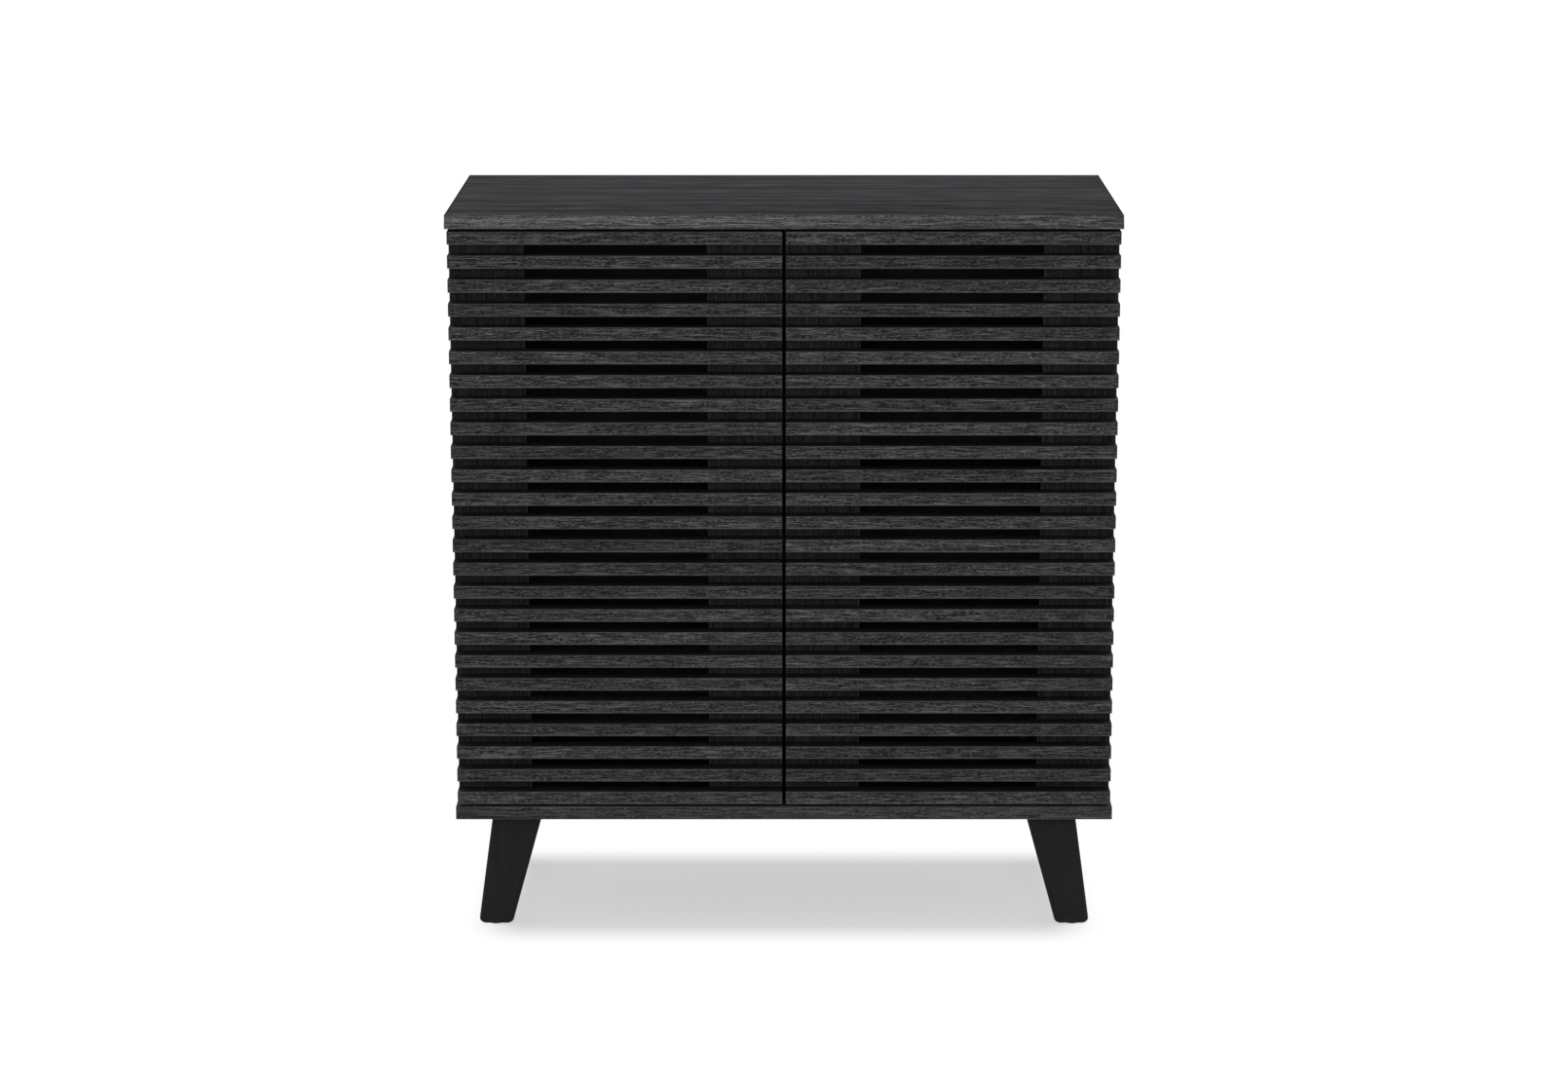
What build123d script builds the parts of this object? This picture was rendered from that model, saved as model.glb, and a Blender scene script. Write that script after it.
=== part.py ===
from build123d import *
from math import atan2, degrees, hypot, radians, tan
import os

os.makedirs("parts", exist_ok=True)

# Shoe cabinet, in millimetres. +Z is up, the doors face -Y, and the origin is on the floor
# under the middle of the cabinet.

# Overall size
overall_width = 800.0
overall_depth = 370.0
leg_height = 150.0

# Boards of the body
top_thickness = 16.0
base_thickness = 16.0
side_thickness = 16.0
shelf_thickness = 16.0
back_thickness = 3.0
board_edge_radius = 0.8
side_inset = 2.5          # the sides stand in from the ends of the top and the base
top_rake = 4.0            # the top's front edge leans back by this much
top_nose_height = 4.0     # upright strip at the foot of that raked edge
back_recess = 10.0        # from the rear edges to the back panel
groove_depth = 7.0
groove_clearance = 0.25   # on each face of the back panel
groove_end_gap = 1.0      # between the back panel's edges and the groove's floor

# Shelves
shelf_setback = 15.0      # behind the front edges of the sides
shelf_back_gap = 2.0
shelf_side_gap = 1.0      # loose shelves only
pin_hole_radius = 2.5
pin_hole_depth = 10.0
pin_hole_pitch = 32.0
pin_clearance = 0.05
pin_edge_distance = 60.0  # from the side's front edge and from the back panel
pin_tab_length = 9.0
pin_tab_width = 8.0
pin_tab_thickness = 3.0
pin_rows_outward = 1      # spare holes towards the nearer hinge
pin_rows_inward = 2       # spare holes towards the fixed shelf

# Doors
door_height = 703.0
door_gap = 3.5            # over and under the doors
centre_gap = 4.5          # between the two doors
hinge_gap = 2.0           # between a closed door and the side's front edge
face_setback = 4.0        # door faces and base stand behind the top's nose
slat_count = 25
slat_height = 15.5
slat_depth = 23.0
slat_edge_radius = 1.0
stile_width = 89.0
stile_thickness = 15.0
bumper_radius = 4.0
bumper_clearance = 0.3    # to the side's front edge
bumper_end_distance = 25.0

# Screws that hold the slats, from behind the stiles
slat_screw_edge = 60.0    # from the door's upright edges
slat_screw_radius = 1.7
slat_screw_head_radius = 3.4
slat_screw_bite = 14.0    # length in the slat
screw_clearance = 0.1
pilot_clearance = 0.05
countersink_angle = 90.0  # of all flat-headed screws

# Legs
leg_top_width = 62.0
leg_top_depth = 44.0
leg_foot_width = 42.0
leg_foot_depth = 32.0
leg_end_inset = 73.5      # cabinet end to the leg's middle, under the base
leg_edge_inset = 62.0     # front or rear edge to the leg's middle
leg_splay = 31.0          # the foot stands this much further out
leg_corner_radius = 9.0
leg_foot_radius = 6.0
glide_radius = 9.5
glide_height = 1.5
glide_stem_radius = 3.0
glide_stem_length = 12.0
leg_bolt_spacing = 30.0
leg_bolt_radius = 3.0
leg_bolt_head_radius = 6.5
leg_bolt_head_height = 3.5
leg_bolt_clearance = 0.3
leg_bolt_sink = 0.5       # head below the base's upper face
leg_bolt_socket_radius = 2.5
leg_bolt_socket_depth = 2.5
leg_insert_radius = 5.0
leg_insert_length = 15.0
leg_bolt_tip_gap = 1.0
insert_clearance = 0.05

# Knock-down fittings
cam_radius = 7.5
cam_depth = 12.5
cam_clearance = 0.1
cam_setback = 34.0        # cam's middle to the end of its board
cam_edge_distance = 50.0  # cam's middle to the board's front or rear edge
cam_slot_clearance = 0.4
cam_cross_length = 9.0
cam_cross_width = 1.6
cam_cross_depth = 2.0
cam_bolt_radius = 3.5
cam_bolt_bore_radius = 4.0
cam_bolt_thread_radius = 2.5
cam_bolt_thread_length = 10.5
cam_bolt_tip_gap = 0.5
cam_bolt_head_gap = 1.5   # bolt's end short of the cam's middle
dowel_radius = 4.0
dowel_long = 19.5         # in the board that holds the cams
dowel_short = 9.5         # in the board across it
dowel_clearance = 0.1
dowel_end_gap = 0.5
dowel_spacing = 32.0      # from its cam

# Concealed hinges, two a door. Plan places are (inwards from the side's outer face, backwards
# from the door's back face).
hinge_end_distance = 90.0
cup_radius = 17.5
cup_tab = 5.0             # wood left beside the cup
cup_depth = 12.0
cup_wall = 1.0
cup_clearance = 0.1
flange_width = 23.0
flange_length = 62.0
flange_thickness = 0.8
flange_shift = 4.0        # inwards of the cup's middle
flange_corner_radius = 5.0
cup_screw_spacing = 48.0
cup_screw_shift = 6.0
cup_screw_radius = 1.6
cup_screw_head_radius = 3.2
cup_screw_length = 12.0
outer_link_arm_pin = (33.5, 1.0)
outer_link_cup_pin = (12.4, -1.4)
inner_link_arm_pin = (32.8, -6.4)
inner_link_cup_pin = (13.3, -5.5)
hinge_pin_radius = 1.0
hinge_pin_clearance = 0.05
link_eye_radius = 1.7
link_thickness = 1.6
inner_link_width = 6.0
outer_link_width = 2.2    # each of its two plates
link_gap = 0.4            # between the inner link and each plate
cheek_gap = 0.6           # between a plate and the arm's cheek
cheek_thickness = 1.2
arm_eye_radius = 2.4
arm_neck = (26.0, 9.0)
arm_neck_radius = 3.5
arm_plate_gap = 2.2       # between the mounting plate and the arm's cheeks
arm_far_face = 33.0       # inwards from the side's outer face
arm_start = 8.0           # backwards from the door's back face
arm_end = 60.0
web_start = 11.0
web_thickness = 1.2
plate_thickness = 2.5
plate_start = 24.0
plate_length = 32.0
plate_width = 18.0
plate_wing_length = 12.0
plate_wing_width = 46.0
plate_screw_spacing = 32.0
plate_screw_radius = 2.0
plate_screw_head_radius = 4.0
plate_screw_length = 13.0
rail_length = 28.0
rail_clearance = 0.2
arm_screw_radius = 2.0
arm_screw_head_radius = 4.0
arm_screw_head_height = 2.2
arm_screw_length = 10.0

# Levels worked out from the sizes above
base_bottom = leg_height
base_top = base_bottom + base_thickness
door_bottom = base_top + door_gap
door_top = door_bottom + door_height
top_bottom = door_top + door_gap
overall_height = top_bottom + top_thickness
inner_height = top_bottom - base_top

nose_y = -overall_depth / 2
back_y = overall_depth / 2
face_y = nose_y + face_setback
stile_front_y = face_y + slat_depth
stile_back_y = stile_front_y + stile_thickness
side_front_y = stile_back_y + hinge_gap
back_panel_rear_y = back_y - back_recess
back_panel_front_y = back_panel_rear_y - back_thickness
back_panel_y = back_panel_rear_y - back_thickness / 2

side_outer_x = overall_width / 2 - side_inset
side_inner_x = side_outer_x - side_thickness
side_middle_x = side_outer_x - side_thickness / 2
door_inner_x = centre_gap / 2
door_width = side_outer_x - door_inner_x

fixed_shelf_bottom = base_top + (inner_height - shelf_thickness) / 2
tier_height = (fixed_shelf_bottom - base_top - shelf_thickness) / 2
lower_shelf_bottom = base_top + tier_height
upper_shelf_bottom = fixed_shelf_bottom + shelf_thickness + tier_height
shelf_front_y = side_front_y + shelf_setback
shelf_rear_y = back_panel_front_y - shelf_back_gap
shelf_depth = shelf_rear_y - shelf_front_y

slat_pitch = (door_height - slat_height) / (slat_count - 1)
slat_heights = [door_bottom + slat_height / 2 + i * slat_pitch for i in range(slat_count)]
hinge_heights = (door_bottom + hinge_end_distance, door_top - hinge_end_distance)

cam_rows = (side_front_y + cam_edge_distance, back_panel_front_y - cam_edge_distance)
dowel_rows = (cam_rows[0] + dowel_spacing, cam_rows[1] - dowel_spacing)
pin_columns = (side_front_y + pin_edge_distance, back_panel_front_y - pin_edge_distance)
pin_drop = pin_hole_radius  # hole's middle below the shelf
pin_steps = [i * pin_hole_pitch for i in range(-pin_rows_outward, pin_rows_inward + 1)]
pin_rows = [lower_shelf_bottom - pin_drop + step for step in pin_steps]
pin_rows += [upper_shelf_bottom - pin_drop - step for step in pin_steps]

leg_middle_x = overall_width / 2 - leg_end_inset
leg_middle_y = overall_depth / 2 - leg_edge_inset
foot_middle_x = leg_middle_x + leg_splay
leg_corners = [(x, y) for x in (-1, 1) for y in (-1, 1)]
leg_bolt_points = [
    (x * leg_middle_x + dx, y * leg_middle_y)
    for x, y in leg_corners
    for dx in (-leg_bolt_spacing / 2, leg_bolt_spacing / 2)
]
foot_points = [(x * foot_middle_x, y * leg_middle_y) for x, y in leg_corners]

inner_link_reach = inner_link_width / 2
outer_link_start = inner_link_reach + link_gap
outer_link_end = outer_link_start + outer_link_width
cheek_start = outer_link_end + cheek_gap
cheek_end = cheek_start + cheek_thickness
cup_middle_x = -side_outer_x + cup_tab + cup_radius
cup_screw_x = cup_middle_x + cup_screw_shift
plate_middle_y = stile_back_y + plate_start + plate_length / 2
countersink_slope = tan(radians(countersink_angle / 2))


def facing(x, y, z, direction):
    """A plane at a point on a face, whose normal points out of that face."""
    return Plane(origin=(x, y, z), z_dir=direction)


def plan(place):
    """A hinge's plan place in the cabinet's own X and Y, on the left door."""
    return (-side_outer_x + place[0], stile_back_y + place[1])


def save(piece, name):
    """Name a finished piece and write it."""
    piece.part.label = name
    export_step(piece.part, f"parts/{name}.step")


def save_pair(piece, name):
    """Write a left-hand piece, and its mirror image for the right-hand side."""
    save(piece, f"left_{name}")
    with BuildPart() as other_hand:
        mirror(piece.part, about=Plane.YZ)
    save(other_hand, f"right_{name}")


BACK = (0, 1, 0)
UP = (0, 0, 1)
DOWN = (0, 0, -1)
INWARDS = (1, 0, 0)       # out of the left side's inner face
OUTWARDS = (-1, 0, 0)
BOTH_SIDES = (-side_middle_x, side_middle_x)
ON_FACE = (Align.CENTER, Align.CENTER, Align.MIN)
IN_FACE = (Align.CENTER, Align.CENTER, Align.MAX)
groove_width = back_thickness + 2 * groove_clearance
groove_span = 2 * (side_inner_x + groove_depth)

# Top panel: a board with a raked front edge, grooved and bored underneath
with BuildPart() as top_panel:
    with BuildSketch(Plane.YZ):
        with BuildLine():
            Polyline(
                (nose_y + top_rake, overall_height),
                (back_y, overall_height),
                (back_y, top_bottom),
                (nose_y, top_bottom),
                (nose_y, top_bottom + top_nose_height),
                close=True,
            )
        make_face()
    extrude(amount=overall_width / 2, both=True)
    fillet(top_panel.edges().filter_by(Axis.X), board_edge_radius)
    with Locations((0, back_panel_y, top_bottom)):
        Box(groove_span, groove_width, groove_depth, align=ON_FACE, mode=Mode.SUBTRACT)
    with Locations([facing(x, y, top_bottom, DOWN) for x in BOTH_SIDES for y in cam_rows]):
        Hole(cam_bolt_thread_radius, cam_bolt_thread_length + cam_bolt_tip_gap)
    with Locations([facing(x, y, top_bottom, DOWN) for x in BOTH_SIDES for y in dowel_rows]):
        Hole(dowel_radius + dowel_clearance, dowel_short + dowel_end_gap)
save(top_panel, "top_panel")

# Base panel: carries the sides and the legs
base_depth = back_y - face_y
with BuildPart() as base_panel:
    with Locations((0, (face_y + back_y) / 2, base_bottom)):
        Box(overall_width, base_depth, base_thickness, align=ON_FACE)
    fillet(base_panel.edges(), board_edge_radius)
    with Locations((0, back_panel_y, base_top)):
        Box(groove_span, groove_width, groove_depth, align=IN_FACE, mode=Mode.SUBTRACT)
    with Locations([(x, y, base_top) for x in BOTH_SIDES for y in cam_rows]):
        Hole(cam_bolt_thread_radius, cam_bolt_thread_length + cam_bolt_tip_gap)
    with Locations([(x, y, base_top) for x in BOTH_SIDES for y in dowel_rows]):
        Hole(dowel_radius + dowel_clearance, dowel_short + dowel_end_gap)
    with Locations([(x, y, base_top) for x, y in leg_bolt_points]):
        CounterBoreHole(
            radius=leg_bolt_radius + leg_bolt_clearance,
            counter_bore_radius=leg_bolt_head_radius + leg_bolt_clearance,
            counter_bore_depth=leg_bolt_head_height + leg_bolt_sink,
        )
save(base_panel, "base_panel")

# Side panels: upright boards between base and top
cam_levels = (base_top + cam_setback, top_bottom - cam_setback)
fixed_shelf_middle = fixed_shelf_bottom + shelf_thickness / 2
with BuildPart() as side_panel:
    with Locations((-side_middle_x, (side_front_y + back_y) / 2, base_top)):
        Box(side_thickness, back_y - side_front_y, inner_height, align=ON_FACE)
    fillet(side_panel.edges().filter_by(Axis.Z), board_edge_radius)
    with Locations((-side_inner_x, back_panel_y, base_top)):
        Box(
            groove_depth,
            groove_width,
            inner_height,
            align=(Align.MAX, Align.CENTER, Align.MIN),
            mode=Mode.SUBTRACT,
        )
    with Locations([facing(-side_inner_x, y, z, INWARDS) for y in cam_rows for z in cam_levels]):
        Hole(cam_radius, cam_depth)
    with Locations([facing(-side_middle_x, y, base_top, DOWN) for y in cam_rows]):
        Hole(cam_bolt_bore_radius, cam_setback)
    with Locations([facing(-side_middle_x, y, top_bottom, UP) for y in cam_rows]):
        Hole(cam_bolt_bore_radius, cam_setback)
    with Locations([facing(-side_middle_x, y, base_top, DOWN) for y in dowel_rows]):
        Hole(dowel_radius + dowel_clearance, dowel_long + dowel_end_gap)
    with Locations([facing(-side_middle_x, y, top_bottom, UP) for y in dowel_rows]):
        Hole(dowel_radius + dowel_clearance, dowel_long + dowel_end_gap)
    with Locations([facing(-side_inner_x, y, fixed_shelf_middle, INWARDS) for y in cam_rows]):
        Hole(cam_bolt_thread_radius, cam_bolt_thread_length + cam_bolt_tip_gap)
    with Locations([facing(-side_inner_x, y, fixed_shelf_middle, INWARDS) for y in dowel_rows]):
        Hole(dowel_radius + dowel_clearance, dowel_short + dowel_end_gap)
    with Locations([facing(-side_inner_x, y, z, INWARDS) for y in pin_columns for z in pin_rows]):
        Hole(pin_hole_radius, pin_hole_depth)
    with Locations(
        [
            facing(-side_inner_x, plate_middle_y, z + dz, INWARDS)
            for z in hinge_heights
            for dz in (-plate_screw_spacing / 2, plate_screw_spacing / 2)
        ]
    ):
        Hole(plate_screw_radius + pilot_clearance, plate_screw_length)
save_pair(side_panel, "side_panel")

# Back panel: a thin board that slides in the grooves of all four boards
back_width = groove_span - 2 * groove_end_gap
back_height = inner_height + 2 * (groove_depth - groove_end_gap)
with BuildPart() as back_panel:
    with Locations((0, back_panel_y, base_top + inner_height / 2)):
        Box(back_width, back_thickness, back_height)
save(back_panel, "back_panel")

# Fixed shelf: ties the sides together at half height, with its cams underneath
shelf_middle_y = (shelf_front_y + shelf_rear_y) / 2
fixed_cam_x = side_inner_x - cam_setback
fixed_cam_columns = (-fixed_cam_x, fixed_cam_x)
with BuildPart() as fixed_shelf:
    with Locations((0, shelf_middle_y, fixed_shelf_bottom)):
        Box(2 * side_inner_x, shelf_depth, shelf_thickness, align=ON_FACE)
    fillet(fixed_shelf.edges().filter_by(Axis.X), board_edge_radius)
    with Locations([facing(x, y, fixed_shelf_bottom, DOWN) for x in fixed_cam_columns for y in cam_rows]):
        Hole(cam_radius, cam_depth)
    with Locations([facing(-side_inner_x, y, fixed_shelf_middle, OUTWARDS) for y in cam_rows]):
        Hole(cam_bolt_bore_radius, cam_setback)
    with Locations([facing(side_inner_x, y, fixed_shelf_middle, INWARDS) for y in cam_rows]):
        Hole(cam_bolt_bore_radius, cam_setback)
    with Locations([facing(-side_inner_x, y, fixed_shelf_middle, OUTWARDS) for y in dowel_rows]):
        Hole(dowel_radius + dowel_clearance, dowel_long + dowel_end_gap)
    with Locations([facing(side_inner_x, y, fixed_shelf_middle, INWARDS) for y in dowel_rows]):
        Hole(dowel_radius + dowel_clearance, dowel_long + dowel_end_gap)
save(fixed_shelf, "fixed_shelf")

# Loose shelves: rest on pins above and below the fixed one
for name, bottom in (("lower_shelf", lower_shelf_bottom), ("upper_shelf", upper_shelf_bottom)):
    with BuildPart() as loose_shelf:
        with Locations((0, shelf_middle_y, bottom)):
            Box(2 * (side_inner_x - shelf_side_gap), shelf_depth, shelf_thickness, align=ON_FACE)
        fillet(loose_shelf.edges().filter_by(Axis.X), board_edge_radius)
    save(loose_shelf, name)

# Shelf pins: a peg in a bored hole and a flat tab under the shelf
with BuildPart() as shelf_pins:
    for bottom in (lower_shelf_bottom, upper_shelf_bottom):
        for y in pin_columns:
            with Locations(facing(-side_inner_x, y, bottom - pin_drop, INWARDS)):
                Cylinder(pin_hole_radius - pin_clearance, pin_hole_depth - pin_clearance, align=IN_FACE)
            with Locations((-side_inner_x, y, bottom)):
                Box(
                    pin_tab_length,
                    pin_tab_width,
                    pin_tab_thickness,
                    align=(Align.MIN, Align.CENTER, Align.MAX),
                )
    mirror(about=Plane.YZ)
save(shelf_pins, "shelf_pins")


def cam_at(x, y, z, face, towards_end, board_thickness):
    """One cam: a drum flush with its board, slotted for the bolt and crossed for a screwdriver."""
    mouth = Plane(origin=(x, y, z), x_dir=towards_end, z_dir=face)
    bolt_depth = board_thickness / 2
    slot = 2 * (cam_bolt_radius + cam_slot_clearance)
    with BuildPart() as cam:
        with BuildSketch(mouth):
            Circle(cam_radius - cam_clearance)
        extrude(amount=cam_clearance - cam_depth)
        with BuildSketch(mouth.offset(slot / 2 - bolt_depth)):
            with Locations((cam_radius / 2, 0)):
                Rectangle(cam_radius, slot)
        extrude(amount=-slot, mode=Mode.SUBTRACT)
        with BuildSketch(mouth):
            Rectangle(cam_cross_length, cam_cross_width)
            Rectangle(cam_cross_width, cam_cross_length)
        extrude(amount=-cam_cross_depth, mode=Mode.SUBTRACT)
    return cam.part


# Cam locks: in the sides at top and bottom, and under the fixed shelf
with BuildPart() as cam_locks:
    for y in cam_rows:
        add(cam_at(-side_inner_x, y, cam_levels[0], INWARDS, DOWN, side_thickness))
        add(cam_at(-side_inner_x, y, cam_levels[1], INWARDS, UP, side_thickness))
        add(cam_at(-fixed_cam_x, y, fixed_shelf_bottom, DOWN, OUTWARDS, shelf_thickness))
    mirror(about=Plane.YZ)
save(cam_locks, "cam_locks")

# Cam bolts: screwed into the board across, with a shank that runs back into the cam
cam_bolt_length = cam_setback - cam_bolt_head_gap
cam_bolt_seats = [facing(-side_middle_x, y, base_top, DOWN) for y in cam_rows]
cam_bolt_seats += [facing(-side_middle_x, y, top_bottom, UP) for y in cam_rows]
cam_bolt_seats += [facing(-side_inner_x, y, fixed_shelf_middle, OUTWARDS) for y in cam_rows]
with BuildPart() as cam_bolts:
    with Locations(cam_bolt_seats):
        Cylinder(cam_bolt_radius, cam_bolt_length, align=IN_FACE)
        Cylinder(cam_bolt_thread_radius - pilot_clearance, cam_bolt_thread_length, align=ON_FACE)
    mirror(about=Plane.YZ)
save(cam_bolts, "cam_bolts")

# Wood dowels: beside each cam, half hidden in each board
dowel_seats = [facing(-side_middle_x, y, base_top, DOWN) for y in dowel_rows]
dowel_seats += [facing(-side_middle_x, y, top_bottom, UP) for y in dowel_rows]
dowel_seats += [facing(-side_inner_x, y, fixed_shelf_middle, OUTWARDS) for y in dowel_rows]
with BuildPart() as wood_dowels:
    with Locations(dowel_seats):
        Cylinder(dowel_radius, dowel_long, align=IN_FACE)
        Cylinder(dowel_radius, dowel_short, align=ON_FACE)
    mirror(about=Plane.YZ)
save(wood_dowels, "wood_dowels")

# Legs: tapered, splayed sideways, with rounded uprights and a rounded foot
for x_side, x_name in ((-1, "left"), (1, "right")):
    for y_side, y_name in ((-1, "front"), (1, "rear")):
        with BuildPart() as leg:
            with BuildSketch(Plane.XY.offset(base_bottom)):
                with Locations((x_side * leg_middle_x, y_side * leg_middle_y)):
                    RectangleRounded(leg_top_width, leg_top_depth, leg_corner_radius)
            with BuildSketch(Plane.XY.offset(glide_height)):
                with Locations((x_side * foot_middle_x, y_side * leg_middle_y)):
                    RectangleRounded(leg_foot_width, leg_foot_depth, leg_corner_radius)
            loft()
            fillet(leg.faces().sort_by(Axis.Z)[0].edges(), leg_foot_radius)
            with Locations(
                [
                    (x_side * leg_middle_x + dx, y_side * leg_middle_y, base_bottom)
                    for dx in (-leg_bolt_spacing / 2, leg_bolt_spacing / 2)
                ]
            ):
                Hole(leg_insert_radius + insert_clearance, leg_insert_length + leg_bolt_tip_gap)
            with Locations(facing(x_side * foot_middle_x, y_side * leg_middle_y, glide_height, DOWN)):
                Hole(glide_stem_radius + insert_clearance, glide_stem_length + insert_clearance)
        save(leg, f"{y_name}_{x_name}_leg")

# Leg inserts: threaded sleeves in the tops of the legs
with BuildPart() as leg_inserts:
    with Locations([(x, y, base_bottom) for x, y in leg_bolt_points]):
        Cylinder(leg_insert_radius, leg_insert_length, align=IN_FACE)
        Hole(leg_bolt_radius + insert_clearance, leg_insert_length)
save(leg_inserts, "leg_inserts")

# Leg bolts: from inside the base down into the inserts, with a hexagon socket in the head
bolt_seat = base_top - leg_bolt_sink - leg_bolt_head_height
leg_bolt_length = bolt_seat - base_bottom + leg_insert_length - leg_bolt_tip_gap
with BuildPart() as leg_bolts:
    with Locations([(x, y, bolt_seat) for x, y in leg_bolt_points]):
        Cylinder(leg_bolt_head_radius, leg_bolt_head_height, align=ON_FACE)
        Cylinder(leg_bolt_radius, leg_bolt_length, align=IN_FACE)
    with BuildSketch(Plane.XY.offset(bolt_seat + leg_bolt_head_height)):
        with Locations(leg_bolt_points):
            RegularPolygon(leg_bolt_socket_radius, side_count=6)
    extrude(amount=-leg_bolt_socket_depth, mode=Mode.SUBTRACT)
save(leg_bolts, "leg_bolts")

# Foot glides: a disc under each foot, on a stem driven into the leg
with BuildPart() as foot_glides:
    with Locations([(x, y, glide_height) for x, y in foot_points]):
        Cylinder(glide_radius, glide_height, align=IN_FACE)
        Cylinder(glide_stem_radius, glide_stem_length, align=ON_FACE)
save(foot_glides, "foot_glides")

# Door stiles: two upright boards a door, the outer one bored for the hinge cups
outer_stile_x = -side_outer_x + stile_width / 2
inner_stile_x = -door_inner_x - stile_width / 2
slat_screw_columns = (-side_outer_x + slat_screw_edge, -door_inner_x - slat_screw_edge)
slat_screw_sink = (slat_screw_head_radius - slat_screw_radius) / countersink_slope
with BuildPart() as outer_stile:
    with Locations((outer_stile_x, stile_back_y - stile_thickness / 2, door_bottom)):
        Box(stile_width, stile_thickness, door_height, align=ON_FACE)
    fillet(outer_stile.edges().filter_by(Axis.Z), board_edge_radius)
    with Locations([facing(cup_middle_x, stile_back_y, z, BACK) for z in hinge_heights]):
        Hole(cup_radius + cup_clearance, cup_depth + cup_clearance)
    with Locations(
        [
            facing(cup_screw_x, stile_back_y, z + dz, BACK)
            for z in hinge_heights
            for dz in (-cup_screw_spacing / 2, cup_screw_spacing / 2)
        ]
    ):
        Hole(cup_screw_radius + pilot_clearance, cup_screw_length)
    with Locations([facing(slat_screw_columns[0], stile_back_y, z, BACK) for z in slat_heights]):
        CounterSinkHole(
            radius=slat_screw_radius + screw_clearance,
            counter_sink_radius=slat_screw_head_radius + screw_clearance,
            depth=stile_thickness,
            counter_sink_angle=countersink_angle,
        )
save_pair(outer_stile, "outer_stile")

with BuildPart() as inner_stile:
    with Locations((inner_stile_x, stile_back_y - stile_thickness / 2, door_bottom)):
        Box(stile_width, stile_thickness, door_height, align=ON_FACE)
    fillet(inner_stile.edges().filter_by(Axis.Z), board_edge_radius)
    with Locations([facing(slat_screw_columns[1], stile_back_y, z, BACK) for z in slat_heights]):
        CounterSinkHole(
            radius=slat_screw_radius + screw_clearance,
            counter_sink_radius=slat_screw_head_radius + screw_clearance,
            depth=stile_thickness,
            counter_sink_angle=countersink_angle,
        )
save_pair(inner_stile, "inner_stile")

# Slats: level battens across both stiles, with pilot holes from behind
with BuildPart() as slats:
    with BuildSketch(Plane.YZ.offset(-side_outer_x)):
        with Locations([(face_y + slat_depth / 2, z) for z in slat_heights]):
            RectangleRounded(slat_depth, slat_height, slat_edge_radius)
    extrude(amount=door_width)
    with Locations([facing(x, stile_front_y, z, BACK) for x in slat_screw_columns for z in slat_heights]):
        Hole(slat_screw_radius + pilot_clearance, slat_screw_bite + pilot_clearance)
save_pair(slats, "slats")

# Slat screws: countersunk, through a stile into each slat
with BuildPart() as slat_screws:
    with Locations([facing(x, stile_back_y, z, BACK) for x in slat_screw_columns for z in slat_heights]):
        Cylinder(slat_screw_radius, stile_thickness + slat_screw_bite, align=IN_FACE)
        Cone(slat_screw_radius, slat_screw_head_radius, slat_screw_sink, align=IN_FACE)
save_pair(slat_screws, "slat_screws")

# Bumpers: soft discs on the outer stiles, where the door closes on the side's front edge
with BuildPart() as bumpers:
    with Locations(
        [
            facing(-side_middle_x, stile_back_y, z, BACK)
            for z in (door_bottom + bumper_end_distance, door_top - bumper_end_distance)
        ]
    ):
        Cylinder(bumper_radius, hinge_gap - bumper_clearance, align=ON_FACE)
save_pair(bumpers, "door_bumpers")

# Hinge cups: pressed cans let into the outer stiles, with a flange for two screws
cup_pin_x, cup_pin_y = plan(outer_link_cup_pin)
with BuildPart() as hinge_cups:
    for z in hinge_heights:
        mouth = Plane(origin=(cup_middle_x, stile_back_y, z), x_dir=INWARDS, z_dir=BACK)
        with BuildSketch(mouth):
            Circle(cup_radius)
        extrude(amount=-cup_depth)
        with BuildSketch(mouth):
            with Locations((flange_shift, 0)):
                RectangleRounded(flange_width, flange_length, flange_corner_radius)
        extrude(amount=flange_thickness)
        with BuildSketch(mouth.offset(flange_thickness)):
            Circle(cup_radius - cup_wall)
        extrude(amount=cup_wall - cup_depth - flange_thickness, mode=Mode.SUBTRACT)
        with BuildSketch(mouth):
            with GridLocations(0, cup_screw_spacing, 1, 2):
                with Locations((cup_screw_shift, 0)):
                    Circle(cup_screw_radius + screw_clearance)
        extrude(amount=flange_thickness, mode=Mode.SUBTRACT)
        with Locations((cup_pin_x, cup_pin_y, z + cup_radius)):
            Hole(hinge_pin_radius + hinge_pin_clearance, 2 * cup_radius)
save_pair(hinge_cups, "hinge_cups")

# Cup screws: round heads on the flange
cup_screw_head_height = cup_screw_head_radius / 2
with BuildPart() as cup_screws:
    with Locations(
        [
            facing(cup_screw_x, stile_back_y + flange_thickness, z + dz, BACK)
            for z in hinge_heights
            for dz in (-cup_screw_spacing / 2, cup_screw_spacing / 2)
        ]
    ):
        Cylinder(cup_screw_radius, cup_screw_length, align=IN_FACE)
        Cone(cup_screw_head_radius, cup_screw_radius, cup_screw_head_height, align=ON_FACE)
save_pair(cup_screws, "cup_screws")

# Cup pins: two short pins a cup, one for each plate of the outer link
cup_pin_offset = cup_tab + cup_radius - outer_link_cup_pin[0]
cup_pin_end = (cup_radius**2 - (cup_pin_offset + hinge_pin_radius) ** 2) ** 0.5 - cup_clearance
cup_pin_start = inner_link_reach + link_gap / 2
with BuildPart() as cup_pins:
    for z in hinge_heights:
        upper_seat = facing(cup_pin_x, cup_pin_y, z + cup_pin_start, UP)
        lower_seat = facing(cup_pin_x, cup_pin_y, z - cup_pin_start, DOWN)
        with Locations(upper_seat, lower_seat):
            Cylinder(hinge_pin_radius, cup_pin_end - cup_pin_start, align=ON_FACE)
save_pair(cup_pins, "cup_pins")


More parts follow.
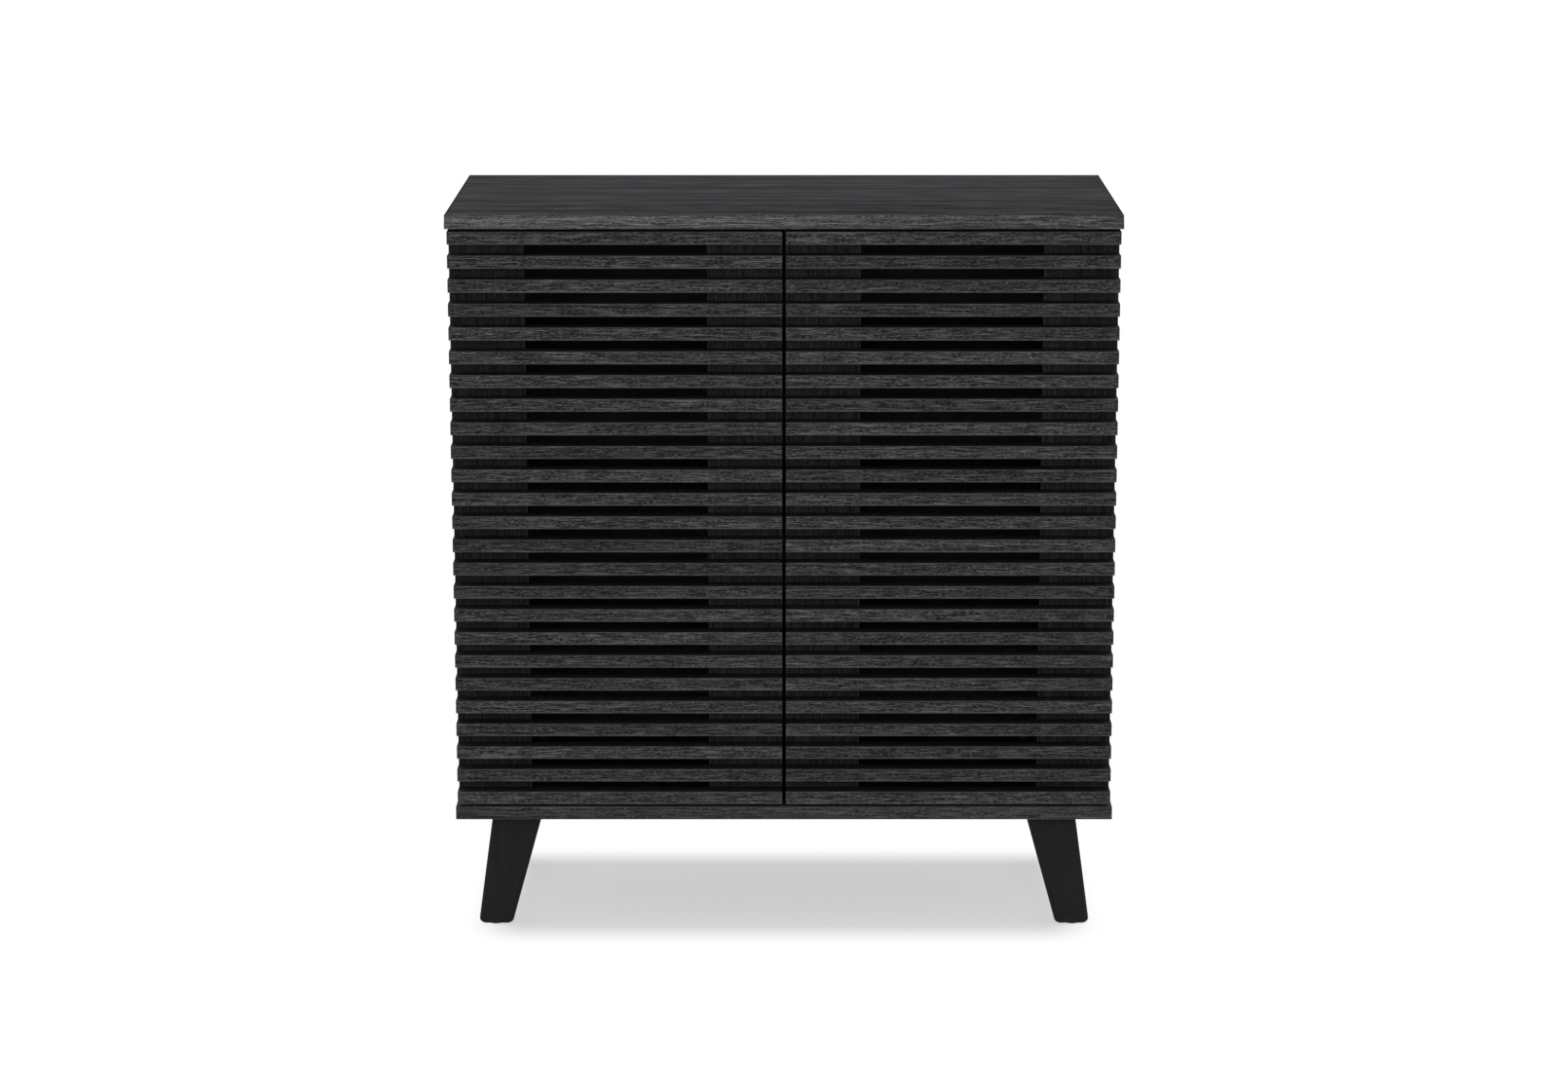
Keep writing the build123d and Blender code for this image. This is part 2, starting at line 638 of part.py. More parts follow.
def link_bar(arm_pin, cup_pin, bottom, height):
    """One flat bar between two plan places, from a level up, with its arm eye bored."""
    arm_x, arm_y = plan(arm_pin)
    cup_x, cup_y = plan(cup_pin)
    length = hypot(cup_x - arm_x, cup_y - arm_y)
    turn = degrees(atan2(cup_y - arm_y, cup_x - arm_x))
    middle = ((arm_x + cup_x) / 2, (arm_y + cup_y) / 2)
    with BuildPart() as bar:
        with BuildSketch(Plane.XY.offset(bottom)):
            with Locations(Location(middle, turn)):
                Rectangle(length, link_thickness)
            with Locations((arm_x, arm_y), (cup_x, cup_y)):
                Circle(link_eye_radius)
        extrude(amount=height)
        with Locations((arm_x, arm_y, bottom + height)):
            Hole(hinge_pin_radius + hinge_pin_clearance, height)
    return bar.part


# Outer links: two plates a hinge, bored for the arm pin and for the cup pins
with BuildPart() as outer_links:
    for z in hinge_heights:
        for bottom in (z + outer_link_start, z - outer_link_end):
            add(link_bar(outer_link_arm_pin, outer_link_cup_pin, bottom, outer_link_width))
        with Locations((cup_pin_x, cup_pin_y, z + outer_link_end)):
            Hole(hinge_pin_radius + hinge_pin_clearance, 2 * outer_link_end)
save_pair(outer_links, "outer_links")

# Inner links: one bar a hinge, bored for the arm pin, with a plain barrel that runs in the cup
with BuildPart() as inner_links:
    for z in hinge_heights:
        add(link_bar(inner_link_arm_pin, inner_link_cup_pin, z - inner_link_reach, inner_link_width))
save_pair(inner_links, "inner_links")

# Hinge arms: a folded channel, whose two cheeks run forward into the cup and carry the pins
arm_near_face = side_thickness + plate_thickness + arm_plate_gap
arm_pin_places = (plan(outer_link_arm_pin), plan(inner_link_arm_pin))
web_x, web_y = plan((arm_far_face, web_start))
with BuildPart() as hinge_arms:
    for z in hinge_heights:
        for bottom in (z + cheek_start, z - cheek_end):
            with BuildSketch(Plane.XY.offset(bottom)):
                with Locations(arm_pin_places):
                    Circle(arm_eye_radius)
                with Locations(plan(arm_neck)):
                    Circle(arm_neck_radius)
                make_hull()
                with Locations(plan((arm_near_face, arm_start))):
                    Rectangle(
                        arm_far_face - arm_near_face,
                        arm_end - arm_start,
                        align=(Align.MIN, Align.MIN),
                    )
                with Locations(arm_pin_places):
                    Circle(hinge_pin_radius + hinge_pin_clearance, mode=Mode.SUBTRACT)
            extrude(amount=cheek_thickness)
        with Locations((web_x, web_y, z)):
            Box(
                web_thickness,
                arm_end - web_start,
                2 * cheek_end,
                align=(Align.MAX, Align.MIN, Align.CENTER),
            )
        with Locations(facing(web_x, plate_middle_y, z, INWARDS)):
            Hole(arm_screw_radius + screw_clearance, web_thickness)
save_pair(hinge_arms, "hinge_arms")

# Arm pins: riveted across the cheeks, one for each link
with BuildPart() as arm_pins:
    with Locations([(x, y, z) for x, y in arm_pin_places for z in hinge_heights]):
        Cylinder(hinge_pin_radius, 2 * cheek_end)
save_pair(arm_pins, "arm_pins")

# Hinge plates: screwed to the sides, with a rail that the arm sits over
rail_height = arm_far_face - web_thickness - side_thickness
rail_width = 2 * (cheek_start - rail_clearance)
ON_SIDE = (Align.MIN, Align.CENTER, Align.CENTER)
plate_screw_seats = [
    facing(-side_inner_x + plate_thickness, plate_middle_y, z + dz, INWARDS)
    for z in hinge_heights
    for dz in (-plate_screw_spacing / 2, plate_screw_spacing / 2)
]
with BuildPart() as hinge_plates:
    with Locations([(-side_inner_x, plate_middle_y, z) for z in hinge_heights]):
        Box(plate_thickness, plate_length, plate_width, align=ON_SIDE)
        Box(plate_thickness, plate_wing_length, plate_wing_width, align=ON_SIDE)
        Box(rail_height, rail_length, rail_width, align=ON_SIDE)
    with Locations(plate_screw_seats):
        CounterSinkHole(
            radius=plate_screw_radius + screw_clearance,
            counter_sink_radius=plate_screw_head_radius + screw_clearance,
            depth=plate_thickness,
            counter_sink_angle=countersink_angle,
        )
    with Locations([facing(web_x - web_thickness, plate_middle_y, z, INWARDS) for z in hinge_heights]):
        Hole(arm_screw_radius + pilot_clearance, arm_screw_length)
save_pair(hinge_plates, "hinge_plates")

# Plate screws: countersunk, through the wings into the sides
plate_screw_sink = (plate_screw_head_radius - plate_screw_radius) / countersink_slope
with BuildPart() as plate_screws:
    with Locations(plate_screw_seats):
        Cylinder(plate_screw_radius, plate_thickness + plate_screw_length - pilot_clearance, align=IN_FACE)
        Cone(plate_screw_radius, plate_screw_head_radius, plate_screw_sink, align=IN_FACE)
save_pair(plate_screws, "plate_screws")

# Arm screws: clamp each arm on its plate's rail
with BuildPart() as arm_screws:
    with Locations([facing(web_x, plate_middle_y, z, INWARDS) for z in hinge_heights]):
        Cylinder(arm_screw_head_radius, arm_screw_head_height, align=ON_FACE)
        Cylinder(arm_screw_radius, arm_screw_length, align=IN_FACE)
save_pair(arm_screws, "arm_screws")
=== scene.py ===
import bmesh
import bpy
import math
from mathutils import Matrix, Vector


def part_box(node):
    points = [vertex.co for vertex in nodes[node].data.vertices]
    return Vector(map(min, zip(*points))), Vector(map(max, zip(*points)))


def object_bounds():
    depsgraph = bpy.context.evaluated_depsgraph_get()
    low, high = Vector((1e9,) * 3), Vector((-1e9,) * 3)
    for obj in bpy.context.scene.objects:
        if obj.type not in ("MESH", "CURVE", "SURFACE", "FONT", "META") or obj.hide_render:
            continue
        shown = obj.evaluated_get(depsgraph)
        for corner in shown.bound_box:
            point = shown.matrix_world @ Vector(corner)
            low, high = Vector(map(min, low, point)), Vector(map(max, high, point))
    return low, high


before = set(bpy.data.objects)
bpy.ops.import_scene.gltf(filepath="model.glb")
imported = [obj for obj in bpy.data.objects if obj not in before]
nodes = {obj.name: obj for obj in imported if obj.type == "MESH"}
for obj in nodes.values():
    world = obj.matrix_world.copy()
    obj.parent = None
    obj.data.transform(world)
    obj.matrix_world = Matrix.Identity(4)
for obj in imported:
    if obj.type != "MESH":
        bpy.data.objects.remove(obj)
cad_low, cad_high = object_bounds()

# Carcass boards: base and two sides of particle board, wrapped in a black stained oak veneer. Each
# veneer runs along its board's longest side, and these boards carry everything else.

X, Y, Z = range(3)


def colour(red, green, blue):
    """A colour written as it shows on a screen, 0 to 255, as Blender's linear RGBA."""
    def linear(level):
        level = level / 255
        return level / 12.92 if level <= 0.04045 else ((level + 0.055) / 1.055) ** 2.4
    return (linear(red), linear(green), linear(blue), 1.0)


def grey(level):
    """A neutral colour, from its one level on a screen."""
    return colour(level, level, level)


class Network:
    """A node tree under construction: adds nodes, links them, and does sums on them."""

    def __init__(self, tree):
        self.tree = tree

    def add(self, kind, **settings):
        made = self.tree.nodes.new("ShaderNode" + kind)
        for key, value in settings.items():
            setattr(made, key, value)
        return made

    def join(self, source, socket):
        self.tree.links.new(source, socket)

    def feed(self, value, socket):
        """Links another node's output, or writes a plain value on the socket."""
        if isinstance(value, bpy.types.NodeSocket):
            self.join(value, socket)
        else:
            socket.default_value = value

    def combine(self, operation, *values):
        made = self.add("Math", operation=operation)
        for value, socket in zip(values, made.inputs):
            self.feed(value, socket)
        return made.outputs["Value"]

    def fade(self, value, start, end, low=0.0, high=1.0):
        """A soft step from low to high, while the value goes from start to end."""
        made = self.add("MapRange", interpolation_type="SMOOTHSTEP")
        self.join(value, made.inputs["Value"])
        made.inputs["From Min"].default_value = start
        made.inputs["From Max"].default_value = end
        made.inputs["To Min"].default_value = low
        made.inputs["To Max"].default_value = high
        return made.outputs["Result"]


class Finish(Network):
    """A material under construction, whose patterns lie on the piece's own coordinates."""

    def __init__(self, name):
        self.material = bpy.data.materials.new(name)
        self.material.use_nodes = True
        super().__init__(self.material.node_tree)
        self.shader = self.tree.nodes["Principled BSDF"]
        self.place = self.add("TexCoord").outputs["Object"]

    def axes(self):
        split = self.add("SeparateXYZ")
        self.join(self.place, split.inputs["Vector"])
        return split.outputs["X"], split.outputs["Y"], split.outputs["Z"]

    def noise(self, scale, shift=(0.0, 0.0, 0.0), detail=2.0, roughness=0.5, place=None, output="Fac"):
        """Noise with so many cycles a metre, on all three axes or on each of them."""
        scaled = self.add("Mapping")
        self.join(self.place if place is None else place, scaled.inputs["Vector"])
        scaled.inputs["Scale"].default_value = scale if isinstance(scale, tuple) else (scale, scale, scale)
        scaled.inputs["Location"].default_value = shift
        made = self.add("TexNoise")
        self.join(scaled.outputs["Vector"], made.inputs["Vector"])
        made.inputs["Scale"].default_value = 1.0
        made.inputs["Detail"].default_value = detail
        made.inputs["Roughness"].default_value = roughness
        return made.outputs[output]

    def shifted(self, place, offset, reach):
        """A place moved by an offset times its reach on each axis."""
        made = self.add("VectorMath", operation="MULTIPLY_ADD")
        self.join(offset, made.inputs[0])
        made.inputs[1].default_value = reach
        self.join(place, made.inputs[2])
        return made.outputs["Vector"]

    def ramp(self, value, *stops):
        made = self.add("ValToRGB")
        self.join(value, made.inputs["Fac"])
        points = made.color_ramp.elements
        while len(points) < len(stops):
            points.new(0.5)
        for point, (position, tint) in zip(points, stops):
            point.position = position
            point.color = tint
        return made.outputs["Color"]

    def mix(self, amount, first, second):
        made = self.add("Mix", data_type="RGBA")
        self.feed(amount, made.inputs["Factor"])
        self.feed(first, made.inputs["A"])
        self.feed(second, made.inputs["B"])
        return made.outputs["Result"]

    def toned(self, tint, level):
        """A colour made lighter or darker by a factor."""
        made = self.add("HueSaturation")
        self.join(tint, made.inputs["Color"])
        self.join(level, made.inputs["Value"])
        return made.outputs["Color"]

    def surface(self, **values):
        """Feeds the shader's own sockets, named with underscores for spaces."""
        for key, value in values.items():
            self.feed(value, self.shader.inputs[key.replace("_", " ")])

    def cover(self, amount, tint):
        """Lays a second colour over the base colour that is already there."""
        plain = self.shader.inputs["Base Color"].links[0].from_socket
        self.surface(Base_Color=self.mix(amount, plain, tint))

    def bump(self, height, strength, distance):
        made = self.add("Bump")
        self.join(height, made.inputs["Height"])
        made.inputs["Strength"].default_value = strength
        made.inputs["Distance"].default_value = distance
        self.join(made.outputs["Normal"], self.shader.inputs["Normal"])

    def edge_distance(self, low, high):
        """How far a point on a box's surface lies from that box's nearest edge, in metres."""
        gaps = []
        for value, start, end in zip(self.axes(), low, high):
            middle, half = (start + end) / 2, (end - start) / 2
            offset = self.combine("ABSOLUTE", self.combine("SUBTRACT", value, middle))
            gaps.append(self.combine("SUBTRACT", half, offset))
        lesser = self.combine("MINIMUM", gaps[X], gaps[Y])
        greater = self.combine("MAXIMUM", gaps[X], gaps[Y])
        return self.combine("MAXIMUM", lesser, self.combine("MINIMUM", greater, gaps[Z]))


def dress(node, finish):
    """Gives a CAD node its finish."""
    nodes[node].data.materials.clear()
    nodes[node].data.materials.append(finish.material)


def along(axis, with_grain, across):
    """A value for each axis: one with the grain, and another across it."""
    return tuple(with_grain if i == axis else across for i in (X, Y, Z))


def stained_grain(finish, place, axis, dark, middle, light):
    """Open-pored oak under a thin stain: returns its colour, and its height for the bump."""
    sway_reach = 0.0036
    wander = finish.noise(along(axis, 14.0, 26.0), detail=1.0, place=place, output="Color")
    bent = finish.shifted(place, wander, along(axis, 0.0, sway_reach))

    def figure(with_grain, across, shift=(0.0, 0.0, 0.0), detail=1.0):
        return finish.noise(along(axis, with_grain, across), shift, detail, place=bent)

    fibre = figure(38.0, 1050.0)
    dashes = figure(230.0, 1500.0, shift=(7.0, 3.0, 5.0))
    lines = figure(7.0, 900.0, shift=(4.0, 6.0, 1.0))
    bands = figure(1.6, 34.0, shift=(2.0, 9.0, 4.0), detail=2.0)
    pores = finish.fade(dashes, 0.38, 0.26)
    flecks = finish.fade(dashes, 0.53, 0.63)
    fleck_share, pore_share, fleck_height = 0.85, 0.8, 0.2
    tint = finish.ramp(fibre, (0.38, dark), (0.53, middle), (0.68, light))
    tint = finish.mix(finish.combine("MULTIPLY", flecks, fleck_share), tint, light)
    tint = finish.mix(finish.combine("MULTIPLY", pores, pore_share), tint, dark)
    band_tone = finish.fade(bands, 0.3, 0.7, low=0.86, high=1.14)
    line_tone = finish.fade(lines, 0.3, 0.7, low=0.62, high=1.38)
    tint = finish.toned(tint, finish.combine("MULTIPLY", band_tone, line_tone))
    raised = finish.combine("ADD", fibre, finish.combine("MULTIPLY", flecks, fleck_height))
    return tint, finish.combine("SUBTRACT", raised, pores)


def stained_surface(finish, tint, height, strength, distance):
    """The stain's matt sheen, duller in the pores than on the fibre."""
    finish.surface(
        Base_Color=tint,
        Roughness=finish.fade(height, -0.6, 0.9, low=0.72, high=0.56),
        Specular_IOR_Level=0.08,
    )
    finish.bump(height, strength, distance)


def veneer(board, axis, dark, middle, light, edge_highlight):
    """One board's veneer, made a little paler towards its edges by a painted highlight."""
    highlight_reach, highlight_share = 0.0036, 0.35
    finish = Finish(board + "_veneer")
    tint, height = stained_grain(finish, finish.place, axis, dark, middle, light)
    # Painted highlight: within a few millimetres of the edges the veneer turns towards a paler colour.
    reach = finish.combine("MULTIPLY", finish.noise(60.0, detail=3.0), highlight_reach)
    inward = finish.combine("DIVIDE", finish.edge_distance(*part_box(board)), reach)
    highlighted = finish.fade(inward, 0.3, 1.0, low=highlight_share, high=0.0)
    stained_surface(finish, finish.mix(highlighted, tint, edge_highlight), height, strength=0.30, distance=0.0005)
    dress(board, finish)
    return finish


STAIN_DARK = colour(27, 27, 28)
STAIN_MIDDLE = colour(47, 47, 48)
STAIN_LIGHT = colour(72, 72, 73)
STAIN_EDGE_HIGHLIGHT = grey(82)
for board, axis in (("base_panel", X), ("left_side_panel", Z), ("right_side_panel", Z)):
    veneer(board, axis, STAIN_DARK, STAIN_MIDDLE, STAIN_LIGHT, STAIN_EDGE_HIGHLIGHT)

# Shelves: the same veneered board, with a near-black strip of painted shade along the front edge.
# The middle one is fixed with cams, and the others lie loose on pins.

SHELF_DARK = colour(36, 36, 37)
SHELF_MIDDLE = colour(58, 58, 59)
SHELF_LIGHT = colour(84, 84, 85)
SHELF_SHADE_DARK = grey(9)
SHELF_SHADE_LIGHT = grey(16)
shade_strip_width = 0.0008
seam = 0.0001             # half the width over which one finish gives way to the next
for board in ("fixed_shelf", "lower_shelf", "upper_shelf"):
    finish = veneer(board, X, SHELF_DARK, SHELF_MIDDLE, SHELF_LIGHT, STAIN_EDGE_HIGHLIGHT)
    # Painted shade: the shelf's front edge is near-black, as the inside is dark behind the slats.
    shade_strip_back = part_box(board)[0][Y] + shade_strip_width
    front_shaded = finish.fade(finish.axes()[Y], shade_strip_back + seam, shade_strip_back - seam)
    shade_fleck = finish.noise(along(X, 60.0, 900.0))
    finish.cover(front_shaded, finish.ramp(shade_fleck, (0.35, SHELF_SHADE_DARK), (0.65, SHELF_SHADE_LIGHT)))

# Top panel: the same board with a smoother, slightly blue-black face and long faint streaks. Its
# raked front edge has a strip of open-grained oak, paler with painted light where the rake leans
# back towards the lamps, and the upright nose at its foot is darker with painted shade. The other
# edges have a dark plastic band, with a thin line of painted shade along its upper arris round the face.

FACE_DARK = colour(30, 31, 33)
FACE_MIDDLE = colour(58, 59, 61)
FACE_LIGHT = colour(83, 84, 86)
FACE_STREAK = colour(14, 15, 16)
RAKE_LIT_DARK = grey(44)
RAKE_LIT_MIDDLE = grey(70)
RAKE_LIT_LIGHT = grey(101)
NOSE_SHADE = grey(50)
BAND_DARK = grey(30)
BAND_LIGHT = grey(46)
BAND_RIM_SHADE = grey(12)
band_thickness = 0.0018
rim_shade_start, rim_shade_full = 0.0012, 0.0004            # below the face
# Painted shade: the upright nose under the rake is darkened.
nose_shade_above, nose_shade_below = 0.0006, 0.0004         # where the strip's foot darkens, past the nose
strip_behind, strip_before = 0.0006, 0.0002     # where the strip ends, past the rake
top_rake = 0.004
top_nose = 0.004
top_low, top_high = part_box("top_panel")
rake_back = top_low[Y] + top_rake
nose_top = top_low[Z] + top_nose
band_end = top_high[X] - band_thickness
band_rear = top_high[Y] - band_thickness

top = Finish("top_panel_veneer")
x, y, z = top.axes()
face_fibre = top.noise((14.0, 260.0, 260.0), detail=4.0, roughness=0.65)
face_streak = top.noise((1.2, 34.0, 34.0), shift=(3.0, 1.0, 2.0))
face_line = top.noise((3.0, 95.0, 95.0), shift=(6.0, 2.0, 8.0), roughness=0.6)
face_cloud = top.noise((0.8, 6.0, 6.0), shift=(1.0, 8.0, 2.0), detail=1.0)
face_tint = top.ramp(face_fibre, (0.38, FACE_DARK), (0.50, FACE_MIDDLE), (0.62, FACE_LIGHT))
face_tint = top.mix(top.fade(face_line, 0.47, 0.62, high=0.8), face_tint, FACE_DARK)
face_tint = top.mix(top.fade(face_streak, 0.54, 0.66, high=0.7), face_tint, FACE_STREAK)
face_tint = top.mix(top.fade(face_cloud, 0.35, 0.65, high=0.3), face_tint, FACE_LIGHT)
# Painted light: the raked strip is a paler copy of the oak.
lit_strip_tint, strip_height = stained_grain(top, top.place, X, RAKE_LIT_DARK, RAKE_LIT_MIDDLE, RAKE_LIT_LIGHT)
nose_shade = top.fade(z, nose_top + nose_shade_above, nose_top - nose_shade_below, high=0.25)
lit_strip_tint = top.mix(nose_shade, lit_strip_tint, NOSE_SHADE)
on_strip = top.fade(y, rake_back + strip_behind, rake_back - strip_before)
on_band = top.combine(
    "MAXIMUM",
    top.fade(top.combine("ABSOLUTE", x), band_end - seam, band_end + seam),
    top.fade(y, band_rear - seam, band_rear + seam),
)
band_tint = top.ramp(top.noise(500.0), (0.3, BAND_DARK), (0.7, BAND_LIGHT))
# Painted shade: a near-black line along the band's upper arris, round the face.
band_tint = top.mix(top.fade(z, top_high[Z] - rim_shade_start, top_high[Z] - rim_shade_full), band_tint, BAND_RIM_SHADE)
face_tint = top.mix(on_band, face_tint, band_tint)
top.surface(
    Base_Color=top.mix(on_strip, face_tint, lit_strip_tint),
    Roughness=top.fade(face_fibre, 0.2, 0.8, low=0.80, high=0.66),
    Specular_IOR_Level=0.012,
)
face_relief = 0.25        # of the strip's relief
relief = top.combine("MULTIPLY_ADD", on_strip, 1.0 - face_relief, face_relief)
top.bump(top.combine("MULTIPLY", strip_height, relief), strength=0.25, distance=0.0005)
dress("top_panel", top)

# Back panel: thin hardboard with a black paper face, slid into grooves in the four boards round
# it. The paper is matt, with a faint pressed texture and a few pale scuffs.

PAPER_DARK = colour(40, 40, 41)
PAPER_LIGHT = colour(56, 56, 57)
PAPER_SCUFF = colour(86, 84, 81)
paper = Finish("back_panel_paper")
paper_mottle = paper.noise(14.0, detail=4.0, roughness=0.6)
paper_scuff = paper.noise((9.0, 9.0, 46.0), shift=(4.0, 0.0, 1.0), detail=4.0, roughness=0.7)
paper_tint = paper.ramp(paper_mottle, (0.3, PAPER_DARK), (0.7, PAPER_LIGHT))
paper.surface(
    Base_Color=paper.mix(paper.fade(paper_scuff, 0.62, 0.76, high=0.4), paper_tint, PAPER_SCUFF),
    Roughness=paper.fade(paper_mottle, 0.2, 0.8, low=0.82, high=0.66),
    Specular_IOR_Level=0.25,
)
paper.bump(paper.noise(900.0), strength=0.2, distance=0.0003)
dress("back_panel", paper)

# Wood dowels: plain beech pegs beside each cam, which line one board up with the next. They only
# show when the carcass is taken apart, and the beech is bare, with fine pink-brown flecks.

BEECH_DARK = colour(196, 160, 118)
BEECH_LIGHT = colour(216, 184, 142)
BEECH_FLECK = colour(168, 124, 88)
beech = Finish("bare_beech")
beech_fibre = beech.noise(220.0, detail=3.0, roughness=0.6)
beech_fleck = beech.noise(900.0)
beech_tint = beech.ramp(beech_fibre, (0.3, BEECH_DARK), (0.7, BEECH_LIGHT))
beech.surface(
    Base_Color=beech.mix(beech.fade(beech_fleck, 0.58, 0.7, high=0.5), beech_tint, BEECH_FLECK),
    Roughness=beech.fade(beech_fibre, 0.3, 0.7, low=0.74, high=0.6),
)
beech.bump(beech_fleck, strength=0.25, distance=0.0003)
dress("wood_dowels", beech)

# Metal fittings: cam locks of die-cast zinc, brass leg inserts, nickel-plated hinges, and plated
# steel bolts and pins. They are bought in, pressed, cast or turned, with a fine brushed or grainy
# surface.


def plated(name, dark, light, rough, grain=700.0):
    """Metal with a fine grain and faint cloudy stains in its plating."""
    finish = Finish(name)
    cloud = finish.noise(130.0, detail=3.0, roughness=0.6)
    fine = finish.noise(grain)
    finish.surface(
        Base_Color=finish.ramp(cloud, (0.3, dark), (0.7, light)),
        Metallic=0.8,
        Roughness=finish.fade(fine, 0.3, 0.7, low=rough - 0.07, high=rough + 0.09),
    )
    finish.bump(fine, strength=0.12, distance=0.0002)
    return finish


ZINC_DARK, ZINC_LIGHT = colour(138, 138, 140), colour(172, 172, 174)
STEEL_DARK, STEEL_LIGHT = colour(160, 161, 163), colour(190, 190, 191)
NICKEL_DARK, NICKEL_LIGHT = colour(176, 173, 168), colour(208, 205, 199)
BRASS_DARK, BRASS_LIGHT = colour(176, 138, 72), colour(206, 170, 98)
steel_rough = 0.42
zinc = plated("die_cast_zinc", ZINC_DARK, ZINC_LIGHT, rough=0.50)
turned_steel = plated("plated_steel", STEEL_DARK, STEEL_LIGHT, steel_rough)
nickel = plated("nickel_plate", NICKEL_DARK, NICKEL_LIGHT, rough=0.44, grain=along(X, 260.0, 1200.0))
brass = plated("plain_brass", BRASS_DARK, BRASS_LIGHT, rough=0.36)
dress("cam_locks", zinc)
dress("leg_inserts", brass)
for fitting in ("cam_bolts", "shelf_pins", "leg_bolts"):
    dress(fitting, turned_steel)
for hand in ("left", "right"):
    for fitting in ("hinge_arms", "hinge_plates", "hinge_cups", "outer_links", "inner_links"):
        dress(f"{hand}_{fitting}", nickel)
    for fitting in ("arm_pins", "cup_pins"):
        dress(f"{hand}_{fitting}", turned_steel)

# Legs: tapered beech blanks under black lacquer, bolted through the base. The lacquer is thin and
# nearly matt with a slight orange peel, and it is scuffed grey just above the floor.

LACQUER_DARK = grey(35)
LACQUER_LIGHT = grey(39)
LACQUER_SCUFF = colour(70, 69, 67)
scuff_top, scuff_full = 0.012, 0.002     # above the floor
lacquer = Finish("satin_black_lacquer")
leg_grain = lacquer.noise(along(Z, 9.0, 120.0), detail=3.0, roughness=0.55)
leg_peel = lacquer.noise(420.0, detail=1.0)
leg_scuff = lacquer.noise(along(Z, 300.0, 90.0), detail=4.0, roughness=0.7)
scuffed = lacquer.combine(
    "MULTIPLY",
    lacquer.fade(leg_scuff, 0.52, 0.66, high=0.5),
    lacquer.fade(lacquer.axes()[Z], scuff_top, scuff_full),
)
leg_tint = lacquer.ramp(leg_grain, (0.3, LACQUER_DARK), (0.7, LACQUER_LIGHT))
lacquer.surface(
    Base_Color=lacquer.mix(scuffed, leg_tint, LACQUER_SCUFF),
    Roughness=lacquer.fade(leg_grain, 0.3, 0.7, low=0.40, high=0.50),
    Specular_IOR_Level=0.02,
)
grain_share = 0.3
leg_relief = lacquer.combine("MULTIPLY_ADD", leg_grain, grain_share, leg_peel)
lacquer.bump(leg_relief, strength=0.06, distance=0.0004)
for leg in ("front_left_leg", "front_right_leg", "rear_left_leg", "rear_right_leg"):
    dress(leg, lacquer)

# Foot glides and door bumpers: a hard nylon disc under each foot, on a stem driven into the leg,
# and soft rubber discs stuck on the doors where they close on the sides. Both are moulded, matt
# and dusty.


def moulded(name, dark, light, rough, pebble):
    """Matt moulded plastic or rubber with a fine pebbled surface and a little dust."""
    finish = Finish(name)
    mottle = finish.noise(150.0, detail=3.0, roughness=0.6)
    grain = finish.noise(pebble)
    finish.surface(
        Base_Color=finish.ramp(mottle, (0.3, dark), (0.7, light)),
        Roughness=finish.fade(grain, 0.3, 0.7, low=rough - 0.08, high=rough + 0.08),
        Specular_IOR_Level=0.4,
    )
    finish.bump(grain, strength=0.15, distance=0.0002)
    return finish


NYLON_DARK, NYLON_LIGHT = grey(20), grey(34)
RUBBER_DARK, RUBBER_LIGHT = grey(30), colour(46, 45, 44)
glide_nylon = moulded("glide_nylon", NYLON_DARK, NYLON_LIGHT, rough=0.52, pebble=1100.0)
bumper_rubber = moulded("bumper_rubber", RUBBER_DARK, RUBBER_LIGHT, rough=0.74, pebble=1500.0)
dress("foot_glides", glide_nylon)
dress("left_door_bumpers", bumper_rubber)
dress("right_door_bumpers", bumper_rubber)

# Door stiles: two upright boards behind each door's slats, veneered like the carcass but with the
# grain upright, in a darker copy of the stain which is painted shade for where they lie between the
# slats. The outer ones are bored for the hinge cups.

SHADED_STILE_DARK = grey(20)
SHADED_STILE_MIDDLE = grey(33)
SHADED_STILE_LIGHT = grey(46)
for hand in ("left", "right"):
    for stile in (f"{hand}_outer_stile", f"{hand}_inner_stile"):
        veneer(stile, Z, SHADED_STILE_DARK, SHADED_STILE_MIDDLE, SHADED_STILE_LIGHT, STAIN_LIGHT)

# Slats: solid oak battens across both stiles, stained black so that the grain stays open. No two
# are cut from the same length, so each one has its own figure and a slightly different tone. The
# narrow upper and lower faces are darkened with painted shade, and the front arrises are paler with
# a painted highlight, broken up by noise.

SLAT_DARK = grey(20)
SLAT_MIDDLE = grey(42)
SLAT_LIGHT = grey(86)
SLAT_HIGHLIGHT = colour(86, 86, 85)
SLAT_SHADE = grey(22)
slat_count = 25
slat_height = 0.0155
slat_arris = 0.0013
slat_lot = {"left": 0.37, "right": 61.37}     # so that the doors share no slat
slat_spread = (11.0, 5.0, 5.0)                # how far apart the slats lie in the grain
shade_edge = (0.0007, 0.0002)                  # from a narrow face
shade_start, shade_full = 0.0005, 0.0020        # behind the front
upper_highlight = (slat_arris, 0.0002)              # from a narrow face
lower_highlight = (slat_arris * 2, 0.0004)
highlight_full = 0.0001                             # behind the front


def at_edges(finish, rise, upper, lower):
    """1 on a slat's upper and lower edges, each fading out between two distances from it."""
    return finish.combine(
        "MAXIMUM",
        finish.fade(rise, slat_height - upper[0], slat_height - upper[1]),
        finish.fade(rise, lower[0], lower[1]),
    )


